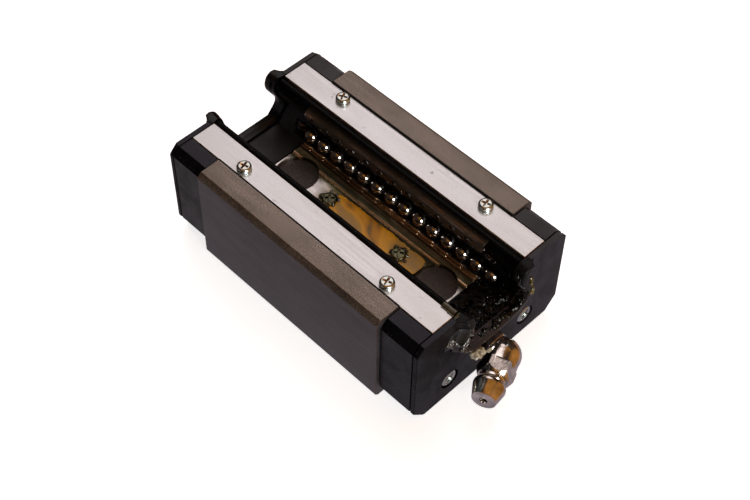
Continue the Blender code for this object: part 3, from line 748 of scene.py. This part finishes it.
SCREWS = (          # nodes; head's radius and height, shank's radius and length; roll; finishes
    ([f"strip_screw_{side}_{number}" for side in SIDES for number in "12"],
     (0.00215, 0.00148, 0.00105, 0.0042), (0.1, 0.5), ("zinc", "recess")),
    ([f"end_screw_{end}_{side}" for end in ENDS for side in SIDES],
     (0.0029, 0.00155, 0.0014, 0.018), (0.5, 1.2), ("zinc", "zinc")),
    (["ceiling_screw_" + end for end in ENDS],
     (0.0023, 0.00078, 0.001, 0.0048), (0.2, 0.9), ("greasy_screw", "greasy_screw")),
)
RECESS_SHARE = 0.66             # of the head's radius


def screw_seat(node, height):
    """Where a screw's head sits, with Z out of it."""
    low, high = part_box(node)
    place = middle_of(node)
    if not node.startswith("end_"):
        place.z = high.z - height
        return Matrix.Translation(place)
    sign = ENDS[node.split("_")[2]]
    place.x = high.x - height if sign > 0 else low.x + height
    return Matrix.Translation(place) @ Matrix.Rotation(sign * pi / 2, 4, "Y")


def screws():
    rng = random.Random(11)
    for nodes, size, roll, finishes in SCREWS:
        head = pan_head(*size)
        for node in nodes:
            place = screw_seat(node, size[1])
            mesh = head.copy()
            mesh.transform(place @ Matrix.Rotation(rng.uniform(*roll), 4, "Z"))
            paint(mesh, *finishes)
            along = place.to_3x3() @ Vector((0, 0, 1))
            for face in mesh.polygons:
                offset = face.center - place.translation
                rise = offset.dot(along)
                across = (offset - along * rise).length
                # the strip screws' recess walls take the copy with painted shade and reflection
                wall = rise > 0 and abs(face.normal.dot(along)) < 0.96
                face.material_index = int(wall and across < size[0] * RECESS_SHARE)
            add_piece(node + "_fine", mesh, None, "zinc_screw", replaces=[node])


# Channel: retainers, balls

RETAINER_SECTION = [(0.0101, 0.0278), (0.0106, 0.0297), (0.0115, 0.0306), (0.0143, 0.0306),
                    (0.0143, 0.0299), (0.0122, 0.0299), (0.0109, 0.029), (0.0104, 0.0277)]


def ball_retainers():
    for side, sign in SIDES.items():
        low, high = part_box("ball_retainer_" + side)
        outline = [(sign * y, z) for y, z in rounded(RETAINER_SECTION, 2, 0.2)]
        form = prism(outline, low.x, high.x, edge=0.00008)
        add_piece("ball_retainer_fine_" + side, new_mesh(form, 50), "retainer", "guide_resin",
                  replaces=["ball_retainer_" + side])


def ceiling_retainer():
    """The plate on the channel's floor, with its ridges and window rims rounded."""
    def upper(edge):
        return min(v.co.z for v in edge.verts) > FLOOR_Z + 0.0004

    mesh = refined("ceiling_retainer", upper, 0.0001, 20)
    add_piece("ceiling_retainer_fine", mesh, "ceiling", "retainer_steel",
              replaces=["ceiling_retainer"])


def ball_rows():
    """Mirror-bright balls with a resin spacer between each two."""
    for name in [row + "_" + side for row in "ab" for side in SIDES]:
        node, body = "load_balls_" + name, "load_row_" + name
        low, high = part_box(node)
        centre = middle_of(node)
        pitch = (high.x - low.x - 2 * BALL_RADIUS) / (BALLS_IN_ROW - 1)

        def place(i):
            return Matrix.Translation((low.x + BALL_RADIUS + i * pitch, centre.y, centre.z))

        form = bmesh.new()
        for i in range(BALLS_IN_ROW):
            bmesh.ops.create_icosphere(form, subdivisions=4, radius=BALL_RADIUS, matrix=place(i))
        add_piece(node + "_fine", new_mesh(form, 180), "ball", "bearing_steel", body=body,
                  replaces=[node])
        hollow = []
        for i in range(6):
            radius = SPACER_RADIUS * i / 5
            hollow.append((radius, pitch / 2 - sqrt(BALL_RADIUS ** 2 - radius ** 2) - 0.00004))
        profile = [(r, -depth) for r, depth in hollow] + [(r, depth) for r, depth in hollow[::-1]]
        form = bmesh.new()
        for i in range(BALLS_IN_ROW - 1):
            turned(profile, 24, form, place(i + 0.5) @ Matrix.Rotation(pi / 2, 4, "Y"))
        add_piece("spacers_" + name, new_mesh(form), "spacer", "guide_resin", body=body)


def inner_parts():
    """Parts that stay as the CAD made them take their finish here."""
    kinds = {"ball": ("return_balls", "turn_balls", "check_ball"),
             "liner": ("return_liner", "turn_guide"), "zinc": ("port_plug",)}
    for name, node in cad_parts.items():
        for finish, starts in kinds.items():
            if name.startswith(starts):
                paint(node.data, finish)


# Grease nipple

def nipple_frame():
    """The elbow's corner, with Z along the head's axis."""
    along = Vector((sin(NIPPLE_ANGLE), -cos(NIPPLE_ANGLE), 0))
    corner = middle_of("check_ball") - along * CHECK_BALL_Z
    return Matrix.Translation(corner) @ along.to_track_quat("Z", "Y").to_matrix().to_4x4()


HEX_HALF = 0.0047               # half across the adapter's flats
ELBOW_RADIUS = 0.0047
KNUCKLE_RADIUS = 0.0051
NUT_RADIUS = 0.0054             # to the corners of the elbow's hexagon
NUT_TURN = radians(-8)
HEAD_SECTION = [(0.00115, 0.0157), (0.00325, 0.0157), (0.0035, 0.01555), (0.0046, 0.0116),
                (0.00465, 0.0113), (0.0046, 0.0106), (0.0044, 0.0103), (0.004, 0.0096),
                (0.0039, 0.0092), (0.004, 0.0085), (0.0024, 0.0085), (0.0024, 0.0056),
                (0.0011, 0.0056), (0.0011, 0.0104), (0.0018, 0.0104), (0.0018, 0.0144),
                (0.00115, 0.015), (0.00115, 0.0157)]
SPRING_Z = (0.0106, 0.01255)    # its ends along the head's axis at rest
SPRING_RADIUS = 0.0011
WIRE_RADIUS = 0.00014


def grease_nipple():
    corner = nipple_frame()
    centre = corner.translation
    along_x = Matrix.Translation((0, 0, centre.z)) @ Matrix.Rotation(pi / 2, 4, "Y")

    low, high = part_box("nipple_adapter")
    seat = SEAL_FACE + 0.0003
    hexagon = prism(circle(HEX_HALF / cos(pi / 6), 6, (0, centre.z)), seat, high.x)
    cone = capped([(0.0078, seat - 0.001), (0.0078, high.x - 0.0016), (0.0052, high.x + 0.0001)],
                  48, along_x)
    stem = capped([(0.0029, low.x), (0.0029, seat + 0.0005)], 32, along_x)
    mesh = combined(hexagon, ("INTERSECT", cone), ("UNION", stem))
    add_piece("nipple_adapter_fine", new_mesh(softened(mesh, 0.00012, 28, 0.5)), "nickel", "nickel",
              replaces=["nipple_adapter"])

    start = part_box("nipple_elbow")[0].x
    bar = turned([(0, start), (0.0045, start), (ELBOW_RADIUS, start + 0.0002),
                  (ELBOW_RADIUS, centre.x), (0.0045, centre.x + 0.0008), (0, centre.x + 0.001)],
                 64, place=along_x)
    arc = [pi * i / 24 for i in range(25)]
    knuckle = turned([(KNUCKLE_RADIUS * sin(a), -KNUCKLE_RADIUS * cos(a)) for a in arc], 64,
                     place=Matrix.Translation(centre))
    branch = capped([(0.005, 0.0), (0.005, 0.004), (0.0046, 0.0044)], 64, corner)
    nut = prism(circle(NUT_RADIUS, 6), 0.0036, 0.0084, "Z")
    bmesh.ops.transform(nut, matrix=corner @ Matrix.Rotation(NUT_TURN, 4, "Z"), verts=nut.verts)
    nut_form = capped([(0.0049, 0.0035), (0.0055, 0.0041), (0.0055, 0.0066), (0.0044, 0.0085)],
                      48, corner)
    bore = capped([(0.0027, 0.0052), (0.0027, 0.0094)], 32, corner)
    face = prism(rectangle(-0.01, 0.0, 0.01, 0.02), 0.04, start)
    nut = combined(nut, ("INTERSECT", nut_form))
    mesh = combined(bar, ("UNION", knuckle), ("UNION", branch), ("UNION", nut),
                    ("DIFFERENCE", face), ("DIFFERENCE", bore))
    add_piece("nipple_elbow_fine", shaded(mesh, 24), "nickel", "nickel", replaces=["nipple_elbow"])

    form = turned(HEAD_SECTION, 64, place=corner)
    bmesh.ops.remove_doubles(form, verts=form.verts, dist=1e-7)
    add_piece("nipple_head_fine", new_mesh(form), "nickel", "nickel", replaces=["nipple_head"])
    check = bmesh.new()
    bmesh.ops.create_icosphere(check, subdivisions=4, radius=CHECK_BALL_RADIUS,
                               matrix=corner @ Matrix.Translation((0, 0, CHECK_BALL_Z)))
    add_piece("check_ball_fine", new_mesh(check, 180), "ball", "bearing_steel", body="check_ball",
              replaces=["check_ball"])


def check_spring():
    """The check ball's spring, as a coil at rest."""
    corner = nipple_frame()
    low, high = SPRING_Z
    turns, steps, sides = 3, 24, 8
    form = bmesh.new()
    rings = []
    for i in range(turns * steps + 1):
        angle = 2 * pi * i / steps
        outward = Vector((cos(angle), sin(angle), 0))
        centre = outward * SPRING_RADIUS + Vector((0, 0, low + (high - low) * i / (turns * steps)))
        rings.append([form.verts.new(corner @ (centre + outward * a + Vector((0, 0, b))))
                      for a, b in circle(WIRE_RADIUS, sides)])
    for first, second in zip(rings, rings[1:]):
        band(form, first, second)
    for ring in (rings[0], rings[-1]):
        form.faces.new(ring)
    coil = new_object("check_spring_fine", new_mesh(form, 60))
    paint(coil.data, "spring")
    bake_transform(coil)
    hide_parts("check_spring")


# Grease

def surface_of(names):
    """A search tree over some pieces' faces."""
    corners, faces = [], []
    for name in names:
        mesh = bpy.data.objects[name].data
        faces += [[len(corners) + i for i in face.vertices] for face in mesh.polygons]
        corners += [vertex.co.copy() for vertex in mesh.vertices]
    return BVHTree.FromPolygons(corners, faces)


FILM_STEP = 0.0002
COAT_STEP = 0.00022
SHEET = 0.00003                 # the thickness that closes an open patch
FINE_LUMPS = 0.00018
FLAT = ((1, 0, 0), (0, 1, 0))


def finish_sheet(name, form, finish, slot):
    bmesh.ops.solidify(form, geom=form.faces[:], thickness=SHEET)
    add_piece(name, new_mesh(form, 180), finish, slot)


def film(name, finish, origin, plane, size, height, seed, slot, onto=()):
    """A thin wet patch on a plane, or laid onto the pieces below it.

    height(a, b, rough) gives its thickness, and it ends where that falls below zero.
    """
    form = bmesh.new()
    below = surface_of(onto) if onto else None
    across, along = (Vector(way) for way in plane)
    normal = across.cross(along).normalized()
    counts = [max(2, round(s / FILM_STEP)) for s in size]
    grid = {}
    depth = {}
    for i in range(counts[0] + 1):
        for j in range(counts[1] + 1):
            a, b = size[0] * i / counts[0], size[1] * j / counts[1]
            spot = Vector(origin) + across * a + along * b
            rough = noise.fractal(spot * 380 + Vector((seed, 0, 0)), 1.0, 2.0, 4)
            depth[i, j] = height(a / size[0], b / size[1], rough)
            if below:
                hit = below.ray_cast(spot + normal * 0.004, -normal, 0.01)[0]
                if hit:
                    spot = hit + normal * 0.00002
                else:
                    depth[i, j] = -1.0
            grid[i, j] = form.verts.new(spot + normal * max(depth[i, j], 0.0))
    for i in range(counts[0]):
        for j in range(counts[1]):
            corners = [(i, j), (i + 1, j), (i + 1, j + 1), (i, j + 1)]
            if max(depth[c] for c in corners) > 0 and min(depth[c] for c in corners) > -1:
                form.faces.new([grid[c] for c in corners])
    bmesh.ops.delete(form, geom=[v for v in form.verts if not v.link_faces], context="VERTS")
    finish_sheet(name, form, finish, slot)


def hump(t, sharpness):
    """1 in the middle of 0..1 and 0 at its ends."""
    return 1 - abs(2 * t - 1) ** sharpness


def patch(sharpness, roughness, floor):
    """A film's height: a low mound with a ragged edge."""
    def height(a, b, rough):
        mound = hump(a, sharpness) * hump(b, sharpness)
        return min(mound + rough * roughness - floor, 0.3) * 0.0002

    return height


def ceiling_grease():
    def amber(a, b, rough):
        return min(hump(a, 8) * hump(b, 5) * 0.9 + rough * 0.25 - 0.25, 0.12) * 0.00045

    film("amber_grease_middle", "amber", (-0.014, -0.0042, FLOOR_Z + 0.0009), FLAT,
         (0.0362, 0.0084), amber, 3.0, "retainer_steel")
    for side, sign in SIDES.items():
        # black grease lumps, three at each ball's pitch; their dark scallops over the balls are also
        # painted shade
        places = []
        for i in range(BALLS_IN_ROW - 2):
            x = -0.0321 + BALL_PITCH * i
            for k in range(3):
                place = (x + 0.0005 * k - 0.0005, sign * 0.01045, 0.0285 + 0.0003 * (k % 2))
                places.append((place, 0.00065))
        lumps("retainer_grease_" + side, "black_grease", places, "guide_resin")
    rng = random.Random(8)
    for end in ENDS:
        node = "ceiling_screw_" + end
        middle, top = middle_of(node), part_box(node)[1].z
        places = []
        for i in range(26):
            turn = 2 * pi * i / 26 + rng.uniform(-0.3, 0.3)
            reach = rng.uniform(0.0014, 0.003)
            z = top - 0.0007 + rng.uniform(-0.0002, 0.0002)
            places.append(((middle.x + reach * cos(turn), middle.y + reach * sin(turn), z),
                           rng.uniform(0.0004, 0.001)))
        lumps("screw_grease_" + end, "old_grease", places, "retainer_steel")


def lumps(name, finish, places, slot="seal_rubber", resolution=0.00025):
    """Metaball lumps that run into each other; places are (point, radius).

    They are made in millimetres, because a metaball can't be fine enough in metres.
    """
    blob = bpy.data.metaballs.new(name)
    blob.resolution = resolution * 1000
    blob.threshold = 0.2
    for point, radius in places:
        element = blob.elements.new(type="BALL")
        element.co = Vector(point) * 1000
        element.radius = radius * 1000
    maker = new_object(name + "_maker", blob)
    mesh = evaluated_mesh(maker)
    bpy.data.objects.remove(maker, do_unlink=True)
    bpy.data.metaballs.remove(blob)
    mesh.transform(Matrix.Scale(0.001, 4))
    mesh.shade_smooth()
    add_piece(name, mesh, finish, slot)


def coated(name, finish, path, start, end, depth, seed):
    """Grease over a stretch of the channel; depth(v, rough) is its thickness inwards."""
    form = bmesh.new()
    middle = Vector((0, 0, 0.026))
    length = max(2, round((end - start) / COAT_STEP))
    rows = []
    for k, spot in enumerate(path):
        tangent = (path[min(len(path) - 1, k + 1)] - path[max(0, k - 1)]).normalized()
        inward = Vector((0, -tangent.y, tangent.x))
        spot = Vector((0, *spot))
        if inward.dot(middle - spot) < 0:
            inward = -inward
        row = []
        for i in range(length + 1):
            v = i / length
            place = spot + Vector((start + (end - start) * v, 0, 0))
            rough = noise.fractal(place * 420 + Vector((0, seed, 0)), 1.0, 2.0, 5)
            row.append(form.verts.new(place + inward * max(0.00004, depth(v, rough))))
        rows.append(row)
    for first, second in zip(rows, rows[1:]):
        for i in range(length):
            form.faces.new((first[i], first[i + 1], second[i + 1], second[i]))
    finish_sheet(name, form, finish, "seal_rubber")


def spaced(points, step):
    """The polyline cut into even steps."""
    out = [Vector(points[0])]
    for first, second in zip(points, points[1:]):
        first, second = Vector(first), Vector(second)
        count = max(1, round((second - first).length / step))
        out += [first.lerp(second, (i + 1) / count) for i in range(count)]
    return out


def mouth_grease():
    """Black grease wiped off by the near end seal: a coat in the channel, and lumps at the lip."""
    wall = [(0.0104, 0.029), (0.0147, 0.0224), (0.0101, 0.0168)]
    whole = rounded([(-y, z) for y, z in wall] + wall[::-1], 2, 0.2, closed=False)
    floor = [(-0.0098, 0.0167), (0.0098, 0.0167)]

    def coat(v, rough):
        return (0.3 + 1.3 * max(0.0, rough + 0.2)) * 0.0006 * min(1.0, 12 * v, 14 * (1 - v))

    for name, path, start, end, seed in (("mouth_coat", whole, 0.0423, 0.0502, 4.0),
                                         ("mouth_floor_coat", floor, 0.0352, 0.043, 7.0)):
        coated(name, "black_grease", spaced(path, COAT_STEP), start, end, coat, seed)
    rng = random.Random(5)
    places = []
    for y, z in spaced(lip_curves()[0], 0.0006):
        if z > 0.0322 or (y < -0.004 and z < 0.03):
            continue
        for _ in range(2):
            x = rng.uniform(LIP_LOW.x + 0.001, LIP_HIGH.x - 0.001)
            push = rng.uniform(-0.0003, 0.0009)
            places.append(((x, y + copysign(push, y), z - 0.0004 + rng.uniform(-0.0005, 0.0004)),
                           rng.uniform(0.0006, 0.0013)))
    lumps("mouth_lumps", "black_grease", places)


FACE_LUMPS = [(-0.0172, 0.0262), (-0.016, 0.0248), (-0.0148, 0.0242), (-0.0136, 0.0236),
              (-0.0126, 0.024), (-0.0114, 0.0252), (-0.0106, 0.027)]
YELLOW_LUMPS = [(0.0149, 0.0226), (0.015, 0.0238), (0.0142, 0.0228), (0.0132, 0.0178),
                (0.0136, 0.0188)]
BROWN_LUMPS = [(-0.0108, 0.0196), (-0.0118, 0.0202), (-0.0098, 0.0178)]


def end_face_grease():
    """Smears and lumps in the grease pushed onto the near end seal's face, with bright grains on it
    as painted glints.
    """
    rng = random.Random(21)
    plate, lip = "end_seal_plate_fine_front", "end_seal_lip_fine_front"
    film("face_smear", "smear", (0.052, -0.0188, 0.0236), ((0, 1, 0), (0, 0.35, 0.94)),
         (0.0074, 0.0058), patch(6, 0.3, 0.3), 2.0, "seal_rubber", [plate, lip])
    surface = surface_of([plate, lip])

    def dabs(name, finish, spots, count, spread, size):
        places = []
        for y, z in spots:
            for _ in range(count):
                away = Vector((0.056, y + rng.gauss(0, spread), z + rng.gauss(0, spread)))
                hit = surface.ray_cast(away, Vector((-1, 0, 0)), 0.01)[0]
                if hit:
                    places.append((hit, rng.uniform(*size)))
        lumps(name, finish, places, resolution=FINE_LUMPS)

    dabs("face_lumps", "wet_grease", FACE_LUMPS, 9, 0.0007, (0.0004, 0.0009))
    places = []
    for _ in range(40):
        y = rng.uniform(-0.0098, -0.0056)
        places.append(((rng.uniform(0.0508, 0.0529), y,
                        0.015 - (y + 0.0048) * 0.15 + rng.uniform(-0.0006, 0.0006)),
                       rng.uniform(0.0005, 0.0009)))
    places += [((0.0529, -0.005, 0.0151), 0.0007), ((0.053, -0.0044, 0.0153), 0.0007)]
    lumps("pale_lumps", "pale_grease", places, resolution=FINE_LUMPS)
    dabs("yellow_lumps", "yellow_grease", YELLOW_LUMPS, 9, 0.0006, (0.0004, 0.0008))
    dabs("brown_lumps", "old_grease", BROWN_LUMPS, 6, 0.0005, (0.0003, 0.0005))

    def painted_glints(name, onto, count, start, way, reach, matrix_and_radius):
        """Tiny bright grains, painted glints, where rays from start() meet the pieces."""
        form = bmesh.new()
        target = surface_of(onto)
        for _ in range(count):
            hit = target.ray_cast(Vector(start()), Vector(way), reach)[0]
            if hit:
                shape, radius = matrix_and_radius()
                bmesh.ops.create_icosphere(form, subdivisions=1, radius=radius,
                                           matrix=Matrix.Translation(hit) @ shape)
        add_piece(name, new_mesh(form, 180), "painted_glint", "seal_rubber")

    painted_glints("face_flecks", ["face_lumps"], 90,
           lambda: (0.056, rng.uniform(-0.018, -0.01), rng.uniform(0.0225, 0.0282)),
           (-1, 0, 0), 0.01, lambda: (Matrix.Identity(4), rng.uniform(0.00005, 0.00015)))
    painted_glints("mouth_flecks",
           ["mouth_coat", "mouth_floor_coat", "mouth_lumps", lip, "end_plate_fine_front"], 64,
           lambda: (rng.uniform(0.0405, 0.0525), rng.uniform(-0.0085, 0.0125), 0.03),
           (0, 0, -1), 0.02,
           lambda: (Matrix.Diagonal((rng.uniform(0.5, 1.8), rng.uniform(0.5, 1.8), 0.6, 1)),
                    0.0001))

    film("corner_smear", "old_grease", (0.042, -0.0144, 0.0345), FLAT, (0.0062, 0.0026),
         patch(4, 0.5, 0.35), 5.0, "seal_rubber",
         ["end_plate_fine_front", plate, "bottom_seal_strip_fine_left",
          "bottom_seal_lip_fine_left", lip])


# Floor, light and camera

SKY = (                         # from straight down (0) to straight up (1)
    (0.0, (0.32, 0.28, 0.31)),
    (0.26, (0.36, 0.32, 0.36)),
    (0.36, (0.36, 0.22, 0.14)),
    (0.45, (0.28, 0.13, 0.04)),
    (0.5, (0.05, 0.032, 0.022)),
    (0.7, (0.04, 0.028, 0.022)),
    (1.0, (0.05, 0.035, 0.025)),
)
# Direction, then the angles where it is full and where it has faded, and the colour
GLOWS = (
    ((0.2, 0.00, 0.98), 19, 41, (0.42, 0.185, 0.036)),
    ((0.86, 0.48, 0.12), 28, 50, (0.42, 0.19, 0.04)),
    ((-0.43, 0.46, 0.78), 7, 24, (1.62, 1.49, 1.45)),
    ((-0.3, -0.95, 0.1), 10, 30, (0.34, 0.3, 0.33)),
)


def studio():
    form = bmesh.new()
    bmesh.ops.create_circle(form, cap_ends=True, segments=96, radius=4.0)
    floor = bpy.data.meshes.new("floor")
    form.to_mesh(floor)
    form.free()
    paint(floor, "floor")
    ground = new_object("floor", floor)
    ground.location.z = BLOCK_LOW.z - 0.0001
    ground.visible_glossy = False

    world = bpy.data.worlds.new("studio")
    bpy.context.scene.world = world
    world.use_nodes = True
    sky = Nodes(world.node_tree)
    direction = sky.node("TexCoord").outputs["Generated"]
    split = sky.node("SeparateXYZ")
    sky.feed(split.inputs["Vector"], direction)
    light = sky.ramp(sky.level(split.outputs["Z"], 0, 1, -1, 1), *SKY)
    for way, full, faded, colour in GLOWS:
        near = sky.node("VectorMath", operation="DOT_PRODUCT")
        sky.feed(near.inputs[0], direction)
        near.inputs[1].default_value = Vector(way).normalized()
        share = sky.level(near.outputs["Value"], 0, 1, cos(radians(faded)), cos(radians(full)),
                          interpolation_type="SMOOTHSTEP")
        light = sky.mix(share, light, colour)
    sky.feed(sky.tree.nodes["Background"].inputs["Color"], light)


def softbox(name, direction, distance, size, power, colour=(1, 1, 1)):
    """An area light in that direction from the carriage, turned towards it."""
    lamp = bpy.data.lights.new(name, "AREA")
    lamp.shape = "DISK"
    lamp.size = size
    lamp.energy = power
    lamp.color = colour
    holder = new_object(name, lamp)
    way = Vector(direction).normalized()
    holder.location = way * distance
    holder.rotation_euler = way.to_track_quat("Z", "Y").to_euler()
    return holder


def lights():
    overhead = softbox("overhead", (-0.43, 0.44, 0.79), 1.2, 1.3, 5.6, (1.0, 0.96, 0.95))
    overhead.visible_glossy = False
    key = softbox("key", (0.86, -0.2, 0.47), 1.0, 0.06, 1.2)
    key.visible_glossy = False
    glint = softbox("glint", (0.84, -0.24, 0.49), 1.0, 0.38, 11.0, (0.92, 1.0, 1.0))
    glint.visible_diffuse = False


CAMERA_ANGLES = (44.476, 51.827, 1.017)         # azimuth, elevation and roll in degrees
CAMERA_PLACE = (0.003448, 0.003836, 0.420614)   # right, up and back from the origin
FOCAL_LENGTH = 68.79


def camera():
    azimuth, elevation, roll = (radians(a) for a in CAMERA_ANGLES)
    back = Vector((sin(azimuth) * cos(elevation), -cos(azimuth) * cos(elevation), sin(elevation)))
    level = Vector((cos(azimuth), sin(azimuth), 0))
    right = level * cos(roll) + back.cross(level) * sin(roll)
    up = back.cross(right)
    lens = bpy.data.cameras.new("camera")
    lens.lens = FOCAL_LENGTH
    lens.sensor_width = 36
    lens.clip_start = 0.01
    holder = new_object("camera", lens)
    place = right * CAMERA_PLACE[0] + up * CAMERA_PLACE[1] + back * CAMERA_PLACE[2]
    turn = Matrix((right, up, back)).transposed().to_4x4()
    holder.matrix_world = Matrix.Translation(place) @ turn
    bpy.context.scene.camera = holder


def build():
    bpy.context.scene.view_settings.view_transform = "Standard"
    camera()
    studio()
    lights()
    inner_parts()
    steel_block()
    end_parts()
    end_seal_lips()
    bottom_seals()
    screws()
    ball_retainers()
    ceiling_retainer()
    ball_rows()
    grease_nipple()
    check_spring()
    ceiling_grease()
    mouth_grease()
    end_face_grease()


build()
